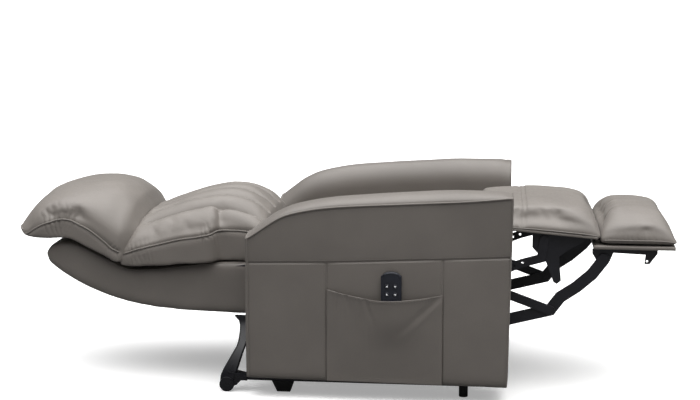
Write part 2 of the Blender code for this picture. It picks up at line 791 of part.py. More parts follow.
def make_footrest_links():
    """Two swing links and two carry links on each side, which keep the footrest's turn centre in front."""
    for word, side in SIDES:
        rivets = inward_pin(CARRY_FRONT, SWING_LAYER, CARRY_LAYER)
        rivets += inward_pin(CARRY_UPPER, SWING_LAYER, CARRY_LAYER)
        flat_part(
            f"front_swing_link_{word}",
            strip([SWING_FRONT, CARRY_FRONT], 0.028),
            SWING_LAYER,
            side,
            "black_steel",
            SWING_FRONT,
            holes=[(SWING_FRONT, HOLE_R)],
            bars=rivets,
        )
        flat_part(
            f"rear_swing_link_{word}",
            strip([SWING_REAR, CARRY_REAR], 0.028),
            SWING_LAYER,
            side,
            "black_steel",
            SWING_REAR,
            holes=[(SWING_REAR, HOLE_R)],
            bars=inward_pin(CARRY_REAR, SWING_LAYER, CARRY_LAYER),
        )
        path = [CARRY_REAR, CARRY_FRONT, (0.665, 0.290), (0.712, 0.322), (0.757, 0.362), END_PIVOT]
        flat_part(
            f"lower_carry_link_{word}",
            strip(path, 0.036),
            CARRY_LAYER,
            side,
            "black_steel",
            CARRY_FRONT,
            holes=[(CARRY_FRONT, HOLE_R), (CARRY_REAR, HOLE_R)],
            bars=inward_pin(END_PIVOT, CARRY_LAYER, REST_LAYER),
        )
        path = [CARRY_UPPER, (0.505, 0.374), (0.550, 0.392), (0.606, 0.408), MID_PIVOT]
        flat_part(
            f"upper_carry_link_{word}",
            strip(path, 0.026),
            CARRY_LAYER,
            side,
            "black_steel",
            CARRY_UPPER,
            holes=[(CARRY_UPPER, HOLE_R), ((0.526, 0.383), 0.004), ((0.550, 0.392), 0.004)],
            bars=inward_pin(MID_PIVOT, CARRY_LAYER, REST_LAYER),
        )


SIDES = (("left", 1.0), ("right", -1.0))
clear_scene()
MATERIALS = make_materials()
make_base()
make_lift()
make_actuator("lift", LIFT_MOTOR_BASE, LIFT_ROD_END, 0.400)
make_chassis()
make_arms()
make_pocket()
make_handset()
make_seat()
make_back()
make_actuator("recline", RECLINE_MOTOR_BASE, RECLINE_ROD_END, 0.300)
make_footrest()
make_footrest_links()
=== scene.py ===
"""The looks of a power lift recliner lying flat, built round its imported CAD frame.

Places are (x, forward, height) in metres: forward is the way the sitter faces, which is -Y.
"""

import math

import bpy
import numpy as np
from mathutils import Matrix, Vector, noise
from mathutils.bvhtree import BVHTree


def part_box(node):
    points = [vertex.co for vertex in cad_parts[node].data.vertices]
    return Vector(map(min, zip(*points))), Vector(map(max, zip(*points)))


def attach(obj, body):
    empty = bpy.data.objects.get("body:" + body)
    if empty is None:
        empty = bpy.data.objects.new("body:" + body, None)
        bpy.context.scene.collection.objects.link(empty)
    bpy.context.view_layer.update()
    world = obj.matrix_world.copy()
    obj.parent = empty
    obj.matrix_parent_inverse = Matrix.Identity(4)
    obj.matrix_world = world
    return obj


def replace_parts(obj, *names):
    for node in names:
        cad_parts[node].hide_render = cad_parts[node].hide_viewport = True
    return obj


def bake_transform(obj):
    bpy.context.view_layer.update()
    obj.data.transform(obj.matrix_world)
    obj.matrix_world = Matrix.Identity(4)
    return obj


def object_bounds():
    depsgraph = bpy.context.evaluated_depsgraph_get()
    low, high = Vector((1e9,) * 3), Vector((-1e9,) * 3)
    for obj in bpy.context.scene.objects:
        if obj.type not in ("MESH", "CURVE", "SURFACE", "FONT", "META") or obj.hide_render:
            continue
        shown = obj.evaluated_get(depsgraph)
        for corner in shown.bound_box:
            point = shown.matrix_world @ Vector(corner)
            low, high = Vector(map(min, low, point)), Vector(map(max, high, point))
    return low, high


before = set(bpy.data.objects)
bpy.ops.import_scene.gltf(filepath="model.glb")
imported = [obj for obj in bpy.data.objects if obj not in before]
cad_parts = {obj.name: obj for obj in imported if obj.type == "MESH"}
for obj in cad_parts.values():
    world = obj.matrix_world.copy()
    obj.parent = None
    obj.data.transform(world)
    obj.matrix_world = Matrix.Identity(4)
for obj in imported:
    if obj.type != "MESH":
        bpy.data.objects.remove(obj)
CAD_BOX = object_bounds()
SIDES = (("left", 1.0), ("right", -1.0))

# The arm's box, from the frame. Its padded ends stand proud of the box, its lower edge sags
# towards the front, and its front end leans back at the bottom.
ARM_LOW, ARM_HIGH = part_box("arm_left")
ARM_INNER, ARM_OUTER = ARM_LOW.x, ARM_HIGH.x
ARM_MIDDLE = (ARM_INNER + ARM_OUTER) / 2
ARM_PROUD_REAR, ARM_PROUD_FRONT = 0.008, 0.011
ARM_REAR, ARM_FRONT = -ARM_HIGH.y - ARM_PROUD_REAR, -ARM_LOW.y + ARM_PROUD_FRONT
ARM_BOTTOM = ARM_LOW.z
ARM_SAG = 0.0088
ARM_LEAN = 0.009
ARM_CORNER = 0.007
ARM_ROLL = 0.075
ARM_HALF = 0.069
ARM_WAVE = 0.0010
LEAN_HEIGHT = 0.56
PIPING_HEIGHT = 0.62

# Upholstery seams and welts.
WELT = 0.0030
SEAM_DEPTH = 0.0024
SEAM_WIDTH = 0.0032
PUFF_DEPTH = 0.0022
PUFF_WIDTH = 0.022
PANEL_SEAMS = (-0.021, 0.319)
SEAM_OFFSETS = np.array([0.0, 0.0012, 0.0028, 0.0045, 0.007, 0.011])
STITCH_GAP = 0.0055
STITCH_PITCH = 0.0068
STITCH_LENGTH = 0.0046
STITCH_RADIUS = 0.00055
VOXEL = 0.006

# Camera: it stands to the chair's right and looks a little down at it.
CAMERA_PLACE = (-4.4528, -0.4670, 1.2954)
CAMERA_TURN = math.radians(5.894)
CAMERA_DIP = math.radians(9.627)
CAMERA_LENS = 73.51


# ---------------------------------------------------------------- curves


def spline(*points):
    """Smooth curve through (place, value) points that never overshoots, as a function of place."""
    xs, ys = np.array(points, float).T
    steps = np.diff(xs)
    slopes = np.diff(ys) / steps
    tangents = np.concatenate([slopes[:1], np.zeros(len(slopes) - 1), slopes[-1:]])
    for n in range(1, len(slopes)):
        before, after = slopes[n - 1], slopes[n]
        if before * after > 0:
            tangents[n] = 2 * before * after / (before + after)

    def value(place):
        place = np.clip(place, xs[0], xs[-1])
        n = np.clip(np.searchsorted(xs, place, side="right") - 1, 0, len(steps) - 1)
        t = (place - xs[n]) / steps[n]
        rise = ys[n] + (ys[n + 1] - ys[n]) * t * t * (3 - 2 * t)
        swing = steps[n] * t * (1 - t) * (tangents[n] * (1 - t) - tangents[n + 1] * t)
        return rise + swing

    return value


def stations(start, end, step, fine):
    """Even places from start to end, with extra ones close round each fine place."""
    offsets = np.concatenate([-SEAM_OFFSETS[:0:-1], SEAM_OFFSETS])
    even = np.linspace(start, end, round((end - start) / step) + 1)
    kept = [p for p in even if all(abs(p - place) > offsets[-1] + step / 3 for place in fine)]
    near = [place + o for place in fine for o in offsets if start <= place + o <= end]
    return np.array(sorted(kept + near))


def ramp(value, low, high):
    """0 below low, 1 above high, and smooth between."""
    t = np.clip((value - low) / (high - low), 0.0, 1.0)
    return t * t * (3 - 2 * t)


def bell(distance, width):
    return np.exp(-((distance / width) ** 2))


def even_path(points, step):
    """The same path with its points a step apart."""
    points = np.asarray(points, float)
    lengths = np.concatenate([[0.0], np.cumsum(np.linalg.norm(np.diff(points, axis=0), axis=1))])
    places = np.linspace(0.0, lengths[-1], max(2, round(lengths[-1] / step) + 1))
    return np.stack([np.interp(places, lengths, points[:, k]) for k in range(3)], axis=1)


def at(x, forward, height):
    """World points from sideways places, forward places and heights."""
    x, forward, height = np.broadcast_arrays(x, forward, height)
    return np.stack([x, -forward, height], axis=-1).astype(float)


# ---------------------------------------------------------------- meshes


def make_object(name, points, faces, material, slot="upholstery"):
    mesh = bpy.data.meshes.new(name)
    mesh.from_pydata(np.asarray(points, float).tolist(), [], [list(map(int, face)) for face in faces])
    mesh.materials.append(material)
    mesh.shade_smooth()
    obj = bpy.data.objects.new(name, mesh)
    bpy.context.scene.collection.objects.link(obj)
    return obj


def coordinates(mesh):
    flat = np.empty(len(mesh.vertices) * 3, np.float32)
    mesh.vertices.foreach_get("co", flat)
    return flat.reshape(-1, 3).astype(float)


def normals(mesh):
    flat = np.empty(len(mesh.vertices) * 3, np.float32)
    mesh.vertices.foreach_get("normal", flat)
    return flat.reshape(-1, 3).astype(float)


def set_coordinates(mesh, points):
    mesh.vertices.foreach_set("co", np.asarray(points, np.float32).ravel())
    mesh.update()


def apply_modifiers(obj):
    bpy.context.view_layer.update()
    graph = bpy.context.evaluated_depsgraph_get()
    mesh = bpy.data.meshes.new_from_object(obj.evaluated_get(graph))
    obj.modifiers.clear()
    old, obj.data = obj.data, mesh
    mesh.name = obj.name
    mesh.shade_smooth()
    bpy.data.meshes.remove(old)
    return obj


def subdivide(obj):
    step = obj.modifiers.new("smooth", "SUBSURF")
    step.levels = step.render_levels = 1
    return apply_modifiers(obj)


def remesh(obj, voxel=VOXEL):
    step = obj.modifiers.new("remesh", "REMESH")
    step.mode = "VOXEL"
    step.voxel_size = voxel
    return apply_modifiers(obj)


def relax(obj, times):
    """Average every point with its neighbours."""
    mesh = obj.data
    ends = np.empty(len(mesh.edges) * 2, np.int32)
    mesh.edges.foreach_get("vertices", ends)
    a, b = ends.reshape(-1, 2).T
    points = coordinates(mesh)
    count = np.bincount(np.concatenate([a, b]), minlength=len(points))[:, None]
    for _ in range(times):
        total = np.zeros_like(points)
        np.add.at(total, a, points[b])
        np.add.at(total, b, points[a])
        points = (points + total / count) / 2
    set_coordinates(mesh, points)
    return obj


def faces_of_rings(rings, size, closed=True):
    """Quads between rings of one size; rings is how many there are."""
    last = size if closed else size - 1
    return [
        (r * size + n, r * size + (n + 1) % size, (r + 1) * size + (n + 1) % size, (r + 1) * size + n)
        for r in range(rings - 1)
        for n in range(last)
    ]


def loft(name, rings, material, bulge=0.0, inset=(0.97, 0.88, 0.7, 0.45, 0.2)):
    """Closed skin through rings, each an array of points, with softly domed ends."""
    rings = [np.asarray(ring, float) for ring in rings]
    outward = (rings[-1].mean(0) - rings[-2].mean(0)), (rings[0].mean(0) - rings[1].mean(0))
    first, last = rings[0].mean(0), rings[-1].mean(0)
    ahead, behind = (way / np.linalg.norm(way) for way in outward)
    lids = [last + (rings[-1] - last) * s + ahead * bulge * (1 - s * s) for s in inset]
    tails = [first + (rings[0] - first) * s + behind * bulge * (1 - s * s) for s in inset[::-1]]
    stack = tails + rings + lids
    size = len(rings[0])
    points = np.concatenate(stack + [[first + behind * bulge], [last + ahead * bulge]])
    faces = faces_of_rings(len(stack), size)
    start, end = len(points) - 2, len(points) - 1
    top = (len(stack) - 1) * size
    faces += [(start, (n + 1) % size, n) for n in range(size)]
    faces += [(end, top + n, top + (n + 1) % size) for n in range(size)]
    obj = make_object(name, points, faces, material)
    if signed_volume(obj.data) < 0:
        obj.data.flip_normals()
    return obj


def cloth_sheet(name, front, back, material):
    """Closed thin sheet between two grids of points."""
    rows, size = front.shape[:2]
    count = rows * size
    points = np.concatenate([front.reshape(-1, 3), back.reshape(-1, 3)])
    faces = faces_of_rings(rows, size, closed=False)
    faces += [tuple(count + i for i in reversed(face)) for face in faces]
    border = list(range(size)) + [r * size + size - 1 for r in range(1, rows)]
    border += [(rows - 1) * size + n for n in range(size - 2, -1, -1)]
    border += [r * size for r in range(rows - 2, 0, -1)]
    faces += [(b, a, a + count, b + count) for a, b in zip(border, border[1:] + border[:1])]
    sheet = make_object(name, points, faces, material)
    if signed_volume(sheet.data) < 0:
        sheet.data.flip_normals()
    return sheet


def signed_volume(mesh):
    mesh.calc_loop_triangles()
    corners = np.empty(len(mesh.loop_triangles) * 3, np.int32)
    mesh.loop_triangles.foreach_get("vertices", corners)
    a, b, c = coordinates(mesh)[corners.reshape(-1, 3)].transpose(1, 0, 2)
    return float(np.einsum("ij,ij->i", a, np.cross(b, c)).sum())


def tree_of(obj):
    mesh = obj.data
    return BVHTree.FromPolygons(
        [tuple(v.co) for v in mesh.vertices], [tuple(p.vertices) for p in mesh.polygons]
    )


def snap(points, tree, lift=0.0):
    """The nearest surface points, raised by lift, and the normals there."""
    placed, facing = [], []
    for point in points:
        place, normal, _, _ = tree.find_nearest(Vector(point))
        placed.append(place + normal * lift)
        facing.append(normal)
    return np.array(placed), np.array(facing)


def smooth_path(points, times=3):
    points = np.array(points, float)
    for _ in range(times):
        points[1:-1] = (points[:-2] + 2 * points[1:-1] + points[2:]) / 4
    return points


def tube_parts(points, radius, sides=8):
    """Points and faces of a round tube along a path, with rounded ends."""
    points = np.asarray(points, float)
    along = np.gradient(points, axis=0)
    along /= np.linalg.norm(along, axis=1)[:, None]
    across = np.cross(along[0], (0.31, 0.45, 0.84))
    rings = []
    turns = np.linspace(0, 2 * math.pi, sides, endpoint=False)
    for place, way in zip(points, along):
        across = across - way * across.dot(way)
        across /= np.linalg.norm(across)
        other = np.cross(way, across)
        rings.append(place + radius * (np.outer(np.cos(turns), across) + np.outer(np.sin(turns), other)))
    tips = [points[0] - along[0] * radius * 0.8, points[-1] + along[-1] * radius * 0.8]
    nearly = [
        points[0] + (rings[0] - points[0]) * 0.7 - along[0] * radius * 0.5,
        points[-1] + (rings[-1] - points[-1]) * 0.7 + along[-1] * radius * 0.5,
    ]
    stack = [nearly[0]] + rings + [nearly[1]]
    places = np.concatenate(stack + [[tips[0]], [tips[1]]])
    faces = faces_of_rings(len(stack), sides)
    first, last, top = len(places) - 2, len(places) - 1, (len(stack) - 1) * sides
    faces += [(first, (n + 1) % sides, n) for n in range(sides)]
    faces += [(last, top + n, top + (n + 1) % sides) for n in range(sides)]
    return places, faces


def joined(parts):
    """One list of points and one of faces from several."""
    points, faces, count = [], [], 0
    for some, more in parts:
        points.append(some)
        faces += [tuple(int(i) + count for i in face) for face in more]
        count += len(some)
    return np.concatenate(points), faces


def welt(name, paths, skin, body, radius=WELT, lift=0.0004, tidy=4):
    """Piping laid along paths on a skin."""
    tree = tree_of(skin)
    parts = []
    for path in paths:
        placed, _ = snap(even_path(path, 0.006), tree, lift)
        parts.append(tube_parts(smooth_path(placed, tidy), radius))
    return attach(make_object(name, *joined(parts), LEATHER_EDGE), body)


def stitch_parts(paths, tree):
    """Points and faces of rows of thread on a skin: short rounded bars lying along each path."""
    parts = []
    for path in paths:
        placed, facing = snap(even_path(path, STITCH_PITCH), tree, STITCH_RADIUS * 0.5)
        for place, way, normal in zip(placed[1:-1], placed[2:] - placed[:-2], facing[1:-1]):
            way = way / np.linalg.norm(way) * STITCH_LENGTH / 2
            line = [place - way - normal * 0.0004, place, place + way - normal * 0.0004]
            parts.append(tube_parts(line, STITCH_RADIUS, 5))
    return joined(parts)


def stitches(name, paths, skin, body):
    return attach(make_object(name, *stitch_parts(paths, tree_of(skin)), THREAD), body)


# ---------------------------------------------------------------- soft goods


def near_path(points, path):
    """Distance from each point to a path, and how far along the path its nearest place is."""
    path = even_path(path, 0.004)
    lengths = np.concatenate([[0.0], np.cumsum(np.linalg.norm(np.diff(path, axis=0), axis=1))])
    distance = np.empty(len(points))
    along = np.empty(len(points))
    for start in range(0, len(points), 4000):
        some = points[start : start + 4000]
        gaps = np.linalg.norm(some[:, None] - path[None], axis=2)
        best = gaps.argmin(axis=1)
        distance[start : start + 4000] = gaps[np.arange(len(some)), best]
        along[start : start + 4000] = lengths[best]
    return distance, along


def pinch(obj, path, depth, width):
    """Draw the skin in along a seam."""
    points = coordinates(obj.data)
    distance, _ = near_path(points, path)
    set_coordinates(obj.data, points - normals(obj.data) * (depth * bell(distance, width))[:, None])


def gathers(obj, path, start, end, spacing, depth, reach):
    """Short pleats that run away from a seam between two places along it."""
    points = coordinates(obj.data)
    distance, along = near_path(points, path)
    wander = np.array([noise.noise(Vector(p * 31.0)) for p in points])
    phase = 2 * math.pi * (along / spacing + 0.55 * wander)
    fold = (0.5 + 0.5 * np.cos(phase)) ** 2 - 0.3
    share = ramp(along, start, start + spacing) * (1 - ramp(along, end - spacing, end))
    push = depth * fold * share * np.exp(-distance / reach) * (0.75 + 0.8 * wander)
    set_coordinates(obj.data, points - normals(obj.data) * push[:, None])


def undulate(obj, height, size, seed):
    """Soft unevenness over the whole skin."""
    points = coordinates(obj.data)
    shift = Vector((seed * 7.3, seed * 3.1, seed * 1.7))
    lift = np.array([noise.noise(Vector(p) / size + shift) for p in points])
    set_coordinates(obj.data, points + normals(obj.data) * (height * lift)[:, None])


def inflate(obj, reach, pressure=4.0):
    """Blow a closed skin up as cloth. reach(points, normals) says how far each point may go."""
    start = coordinates(obj.data)
    limit = reach(start, normals(obj.data))
    cloth = obj.modifiers.new("cloth", "CLOTH")
    cloth.settings.quality = 4
    cloth.settings.mass = 0.25
    cloth.settings.tension_stiffness = cloth.settings.compression_stiffness = 12
    cloth.settings.bending_stiffness = 0.6
    cloth.settings.use_pressure = True
    cloth.settings.uniform_pressure_force = pressure
    cloth.settings.effector_weights.gravity = 0.0
    cloth.point_cache.frame_start, cloth.point_cache.frame_end = 1, 20
    for step in range(1, 21):
        bpy.context.scene.frame_set(step)
    graph = bpy.context.evaluated_depsgraph_get()
    blown = obj.evaluated_get(graph).to_mesh()
    moved = coordinates(blown) - start
    obj.evaluated_get(graph).to_mesh_clear()
    obj.modifiers.clear()
    bpy.context.scene.frame_set(1)
    length = np.linalg.norm(moved, axis=1)
    share = limit / np.maximum(length, 1e-9)
    set_coordinates(obj.data, start + moved * np.minimum(share, 1.0)[:, None])
    return relax(obj, 4)


def section(half, bottom, seam, crest, round_side, round_top):
    """Cushion section (x, height): flat below, upright sides to the seam, and a crown over it."""
    below = [(x, bottom) for x in np.linspace(-half, half, 24)[:-1]]
    right = [(half, z) for z in np.linspace(bottom, seam, 8)[:-1]]
    crown = []
    for turn in np.linspace(0, math.pi, 48):
        c, s = math.cos(turn), math.sin(turn)
        x = half * math.copysign(abs(c) ** round_side, c)
        crown.append((x, seam + (crest - seam) * abs(s) ** round_top))
    left = [(-half, z) for z in np.linspace(seam, bottom, 8)[1:-1]]
    return below + right + crown + left


def pad(name, rows, material, step=0.006, rounding=(0.82, 0.9)):
    """Closed cushion form through rows of (forward, half width, bottom, seam, crest), remeshed."""
    columns = list(zip(*rows))
    curves = [spline(*zip(columns[0], column)) for column in columns[1:]]
    count = round((rows[-1][0] - rows[0][0]) / step)
    rings = []
    for f in np.linspace(rows[0][0], rows[-1][0], count + 1):
        ring = np.array(section(*[curve(f) for curve in curves], *rounding))
        rings.append(at(ring[:, 0], f, ring[:, 1]))
    obj = loft(name, rings, material)
    return remesh(obj), curves


def seam_path(rows_curves, side, start, end, inward=0.0):
    """The line where the crown meets the side of a pad."""
    half, _, seam, _ = rows_curves
    f = np.linspace(start, end, 90)
    return at(side * (half(f) - inward), f, seam(f))


def top_share(facing, low=0.15, high=0.6):
    return ramp(facing[:, 2], low, high)


# ---------------------------------------------------------------- materials


class Nodes:
    """Short calls for building a node material."""

    def __init__(self, name):
        self.material = bpy.data.materials.new(name)
        self.material.use_nodes = True
        self.tree = self.material.node_tree
        self.shader = self.tree.nodes["Principled BSDF"]
        place = self.tree.nodes.new("ShaderNodeTexCoord")
        self.place = place.outputs["Object"]

    def add(self, kind, inputs=(), **settings):
        node = self.tree.nodes.new(kind)
        for key, value in settings.items():
            setattr(node, key, value)
        for key, value in dict(inputs).items():
            if isinstance(value, bpy.types.NodeSocket):
                self.tree.links.new(value, node.inputs[key])
            else:
                node.inputs[key].default_value = value
        return node

    def stretched(self, scale):
        return self.add("ShaderNodeMapping", {"Vector": self.place, "Scale": scale}).outputs[0]

    def noise(self, scale, detail=3.0, rough=0.5, warp=0.0, vector=None):
        inputs = {
            "Vector": vector or self.place,
            "Scale": scale,
            "Detail": detail,
            "Roughness": rough,
            "Distortion": warp,
        }
        return self.add("ShaderNodeTexNoise", inputs).outputs["Fac"]

    def cells(self, scale, feature="F1", vector=None):
        inputs = {"Vector": vector or self.place, "Scale": scale}
        return self.add("ShaderNodeTexVoronoi", inputs, feature=feature).outputs["Distance"]

    def spread(self, value, low, high, to_low, to_high):
        inputs = {"Value": value, "From Min": low, "From Max": high, "To Min": to_low, "To Max": to_high}
        return self.add("ShaderNodeMapRange", inputs).outputs[0]

    def mix(self, share, first, second, blend="MIX"):
        node = self.add("ShaderNodeMix", data_type="RGBA", blend_type=blend)
        for socket, value in (("Factor_Float", share), ("A_Color", first), ("B_Color", second)):
            target = next(i for i in node.inputs if i.identifier == socket)
            if isinstance(value, bpy.types.NodeSocket):
                self.tree.links.new(value, target)
            else:
                target.default_value = value
        return next(o for o in node.outputs if o.identifier == "Result_Color")

    def bump(self, height, strength, distance, below=None):
        inputs = {"Height": height, "Strength": strength, "Distance": distance}
        if below is not None:
            inputs["Normal"] = below
        return self.add("ShaderNodeBump", inputs).outputs[0]

    def worn(self, colour, share, low=0.51, high=0.60, tint=(1, 1, 1, 1)):
        """Lighten the colour a little on raised edges."""
        edge = self.add("ShaderNodeNewGeometry").outputs["Pointiness"]
        return self.mix(self.spread(edge, low, high, 0.0, share), colour, tint)

    def set(self, **values):
        for key, value in values.items():
            socket = self.shader.inputs[key.replace("_", " ")]
            if isinstance(value, bpy.types.NodeSocket):
                self.tree.links.new(value, socket)
            else:
                socket.default_value = value
        return self.material


def shade(colour, factor):
    return (colour[0] * factor, colour[1] * factor, colour[2] * factor, 1.0)


def faux_leather(name, colour):
    """Smooth coated upholstery: fine pebble grain, faint creases and uneven polish."""
    n = Nodes(name)
    broad = n.noise(4.5, 3.0, 0.55)
    pebble = n.cells(760.0, "SMOOTH_F1")
    pores = n.noise(1500.0, 2.0, 0.6)
    crease = n.noise(95.0, 4.0, 0.6, 1.4)
    base = n.mix(n.spread(broad, 0.35, 0.65, 0.0, 1.0), shade(colour, 0.94), shade(colour, 1.07))
    base = n.mix(n.spread(pebble, 0.25, 0.75, 0.16, 0.0), base, shade(colour, 0.62))
    base = n.worn(base, 0.10, tint=shade(colour, 1.5))
    normal = n.bump(pebble, 0.22, 0.0004)
    normal = n.bump(pores, 0.10, 0.0002, normal)
    normal = n.bump(crease, 0.14, 0.0012, normal)
    return n.set(
        Base_Color=base,
        Roughness=n.spread(crease, 0.3, 0.7, 0.40, 0.52),
        Normal=normal,
        Specular_IOR_Level=0.42,
        Sheen_Weight=0.06,
        Sheen_Roughness=0.4,
    )


def powder_coat(name, colour, roughness, grain):
    """Painted steel with a fine orange-peel skin and rubbed edges."""
    n = Nodes(name)
    peel = n.noise(grain, 2.0, 0.5)
    dust = n.noise(18.0, 4.0, 0.6)
    base = n.mix(n.spread(dust, 0.35, 0.75, 0.0, 1.0), shade(colour, 0.85), shade(colour, 1.35))
    base = n.worn(base, 0.30, 0.53, 0.64, shade(colour, 5.0))
    return n.set(
        Base_Color=base,
        Roughness=n.spread(dust, 0.3, 0.7, roughness - 0.06, roughness + 0.08),
        Normal=n.bump(peel, 0.25, 0.0003),
        Metallic=0.0,
        Specular_IOR_Level=0.35,
        Coat_Weight=0.05,
    )


def brushed_steel(name):
    n = Nodes(name)
    lines = n.noise(420.0, 3.0, 0.6, vector=n.stretched((1.0, 0.05, 1.0)))
    base = n.mix(lines, (0.44, 0.44, 0.45, 1.0), (0.66, 0.66, 0.67, 1.0))
    return n.set(
        Base_Color=base,
        Metallic=1.0,
        Roughness=n.spread(lines, 0.3, 0.7, 0.22, 0.36),
        Normal=n.bump(lines, 0.12, 0.0002),
    )


def moulded(name, colour, roughness, grain, depth=0.0003):
    """Moulded plastic or rubber with a spark-eroded texture."""
    n = Nodes(name)
    fine = n.noise(grain, 3.0, 0.55)
    broad = n.noise(30.0, 3.0, 0.5)
    base = n.mix(n.spread(broad, 0.35, 0.65, 0.0, 1.0), shade(colour, 0.85), shade(colour, 1.2))
    base = n.worn(base, 0.2, 0.52, 0.62, shade(colour, 3.0))
    return n.set(
        Base_Color=base,
        Roughness=n.spread(broad, 0.3, 0.7, roughness - 0.05, roughness + 0.06),
        Normal=n.bump(fine, 0.3, depth),
    )


def chipboard(name):
    """Pressed wood board with chips of several tones."""
    n = Nodes(name)
    chips = n.add("ShaderNodeTexVoronoi", {"Vector": n.stretched((1.0, 0.35, 1.0)), "Scale": 260.0})
    tone = n.mix(0.75, chips.outputs["Color"], (0.5, 0.5, 0.5, 1.0))
    base = n.mix(1.0, (0.34, 0.24, 0.15, 1.0), tone, "OVERLAY")
    return n.set(
        Base_Color=base,
        Roughness=n.spread(n.noise(90.0), 0.3, 0.7, 0.68, 0.85),
        Normal=n.bump(chips.outputs["Distance"], 0.3, 0.0005),
    )


def thread(name, colour):
    n = Nodes(name)
    twist = n.add("ShaderNodeTexWave", {"Vector": n.place, "Scale": 900.0, "Distortion": 2.0})
    base = n.mix(twist.outputs["Fac"], shade(colour, 0.8), shade(colour, 1.1))
    return n.set(Base_Color=base, Roughness=n.spread(twist.outputs["Fac"], 0.0, 1.0, 0.55, 0.7))


TAUPE = (0.178, 0.161, 0.146)
# Cushion leather: the one taupe leather made 5% lighter, painted light standing for the brighter light on the
# cushion tops.
LEATHER_PAINTED_LIGHT = faux_leather("taupe_faux_leather_painted_light", shade(TAUPE, 1.05)[:3])
# Arm and pocket leather: the same taupe leather made darker, painted shade standing for the dimmer light on
# the arms.
LEATHER_ARM_PAINTED_SHADE = faux_leather("taupe_arm_leather_painted_shade", shade(TAUPE, 0.89)[:3])
LEATHER_EDGE = faux_leather("taupe_piping", shade(TAUPE, 0.86)[:3])
LEATHER_UNDER = faux_leather("taupe_boxing", shade(TAUPE, 0.96)[:3])
THREAD = thread("taupe_thread", shade(TAUPE, 1.05)[:3])
BLACK_STEEL = powder_coat("satin_black_powder_coat", (0.012, 0.012, 0.016), 0.42, 1400.0)
GLOSS_BLACK = powder_coat("gloss_black_paint", (0.007, 0.007, 0.010), 0.30, 500.0)
STEEL = brushed_steel("brushed_steel")
RUBBER = moulded("black_rubber", (0.020, 0.020, 0.020), 0.80, 500.0, 0.0005)
PLASTIC = moulded("motor_housing_plastic", (0.022, 0.022, 0.025), 0.48, 900.0)
HANDSET = moulded("handset_plastic", (0.010, 0.012, 0.020), 0.40, 1100.0)
BUTTON = moulded("button_rubber", (0.016, 0.018, 0.026), 0.50, 1200.0)
ICON = moulded("button_icon_white", (0.75, 0.76, 0.78), 0.50, 900.0)
BOARD = chipboard("pressed_board")
CAD_MATERIALS = {
    "upholstery": LEATHER_PAINTED_LIGHT,
    "black_steel": BLACK_STEEL,
    "gloss_black": GLOSS_BLACK,
    "board": BOARD,
    "rubber": RUBBER,
    "motor_plastic": PLASTIC,
    "bright_steel": STEEL,
    "handset_plastic": HANDSET,
    "button_rubber": BUTTON,
}
EDGE_RADIUS = {"black_steel": 0.0007, "gloss_black": 0.0030, "board": 0.0012, "rubber": 0.0012}


def finish_frame_nodes():
    """Give every carried-over CAD node its material, welded edges and a small edge radius."""
    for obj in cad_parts.values():
        slot = obj.data.materials[0].name.split(".")[0]
        obj.data.materials[0] = CAD_MATERIALS[slot]
        obj.data.shade_smooth()
        weld = obj.modifiers.new("weld", "WELD")
        weld.merge_threshold = 0.00001
        edge = obj.modifiers.new("edge", "BEVEL")
        edge.width = EDGE_RADIUS.get(slot, 0.0008)
        edge.segments = 2
        edge.limit_method = "ANGLE"
        edge.angle_limit = math.radians(32.0)
        edge.harden_normals = False
        even = obj.modifiers.new("even", "WEIGHTED_NORMAL")
        even.keep_sharp = True


# ---------------------------------------------------------------- arms

ARM_EDGE = spline(
    (-0.256, 0.483),
    (-0.130, 0.558),
    (0.002, 0.581),
    (0.196, 0.593),
    (0.389, 0.604),
    (0.509, 0.615),
)
ARM_CREST = spline(
    (-0.256, 0.496),
    (-0.232, 0.515),
    (-0.175, 0.556),
    (-0.117, 0.580),
    (-0.004, 0.602),
    (0.109, 0.612),
    (0.221, 0.620),
    (0.361, 0.627),
    (0.479, 0.626),
    (0.509, 0.620),
)
PANEL_TOP = spline((-0.256, 0.411), (-0.021, 0.417), (0.319, 0.432), (0.509, 0.441))


def arm_section(f):
    """Arm section (x, height) for x > 0: up the outer face, over the crown and down the inner face."""
    edge, crest, seam = ARM_EDGE(f), ARM_CREST(f), PANEL_TOP(f)
    low = [(x, ARM_BOTTOM) for x in np.linspace(ARM_INNER, ARM_OUTER, 8)[:-1]]
    lower = np.concatenate([np.linspace(ARM_BOTTOM, seam - 0.018, 15), seam - SEAM_OFFSETS[:0:-1]])
    upper = np.concatenate([seam + SEAM_OFFSETS, np.linspace(seam + 0.018, edge, 8)[:-1]])
    outer = [(ARM_OUTER, z) for z in np.concatenate([lower, upper])]
    half = ARM_OUTER - ARM_MIDDLE
    crown = [
        (ARM_MIDDLE + half * math.cos(turn) ** 0.9, edge + (crest - edge) * math.sin(turn))
        for turn in np.linspace(0, math.pi / 2, 14)[:-1]
    ]
    roll = [
        (ARM_MIDDLE - half * math.sin(turn), crest - ARM_ROLL * (1 - math.cos(turn)))
        for turn in np.linspace(0, math.pi / 2, 14)
    ]
    inner = [(ARM_INNER, z) for z in np.linspace(crest - ARM_ROLL, ARM_BOTTOM, 16)[1:-1]]
    return np.array(low + outer + crown + roll + inner)


def arm_low(f):
    """The cover's lower edge, which hangs lower towards the front."""
    return ARM_BOTTOM - ARM_SAG * (f - ARM_REAR) / (ARM_FRONT - ARM_REAR)


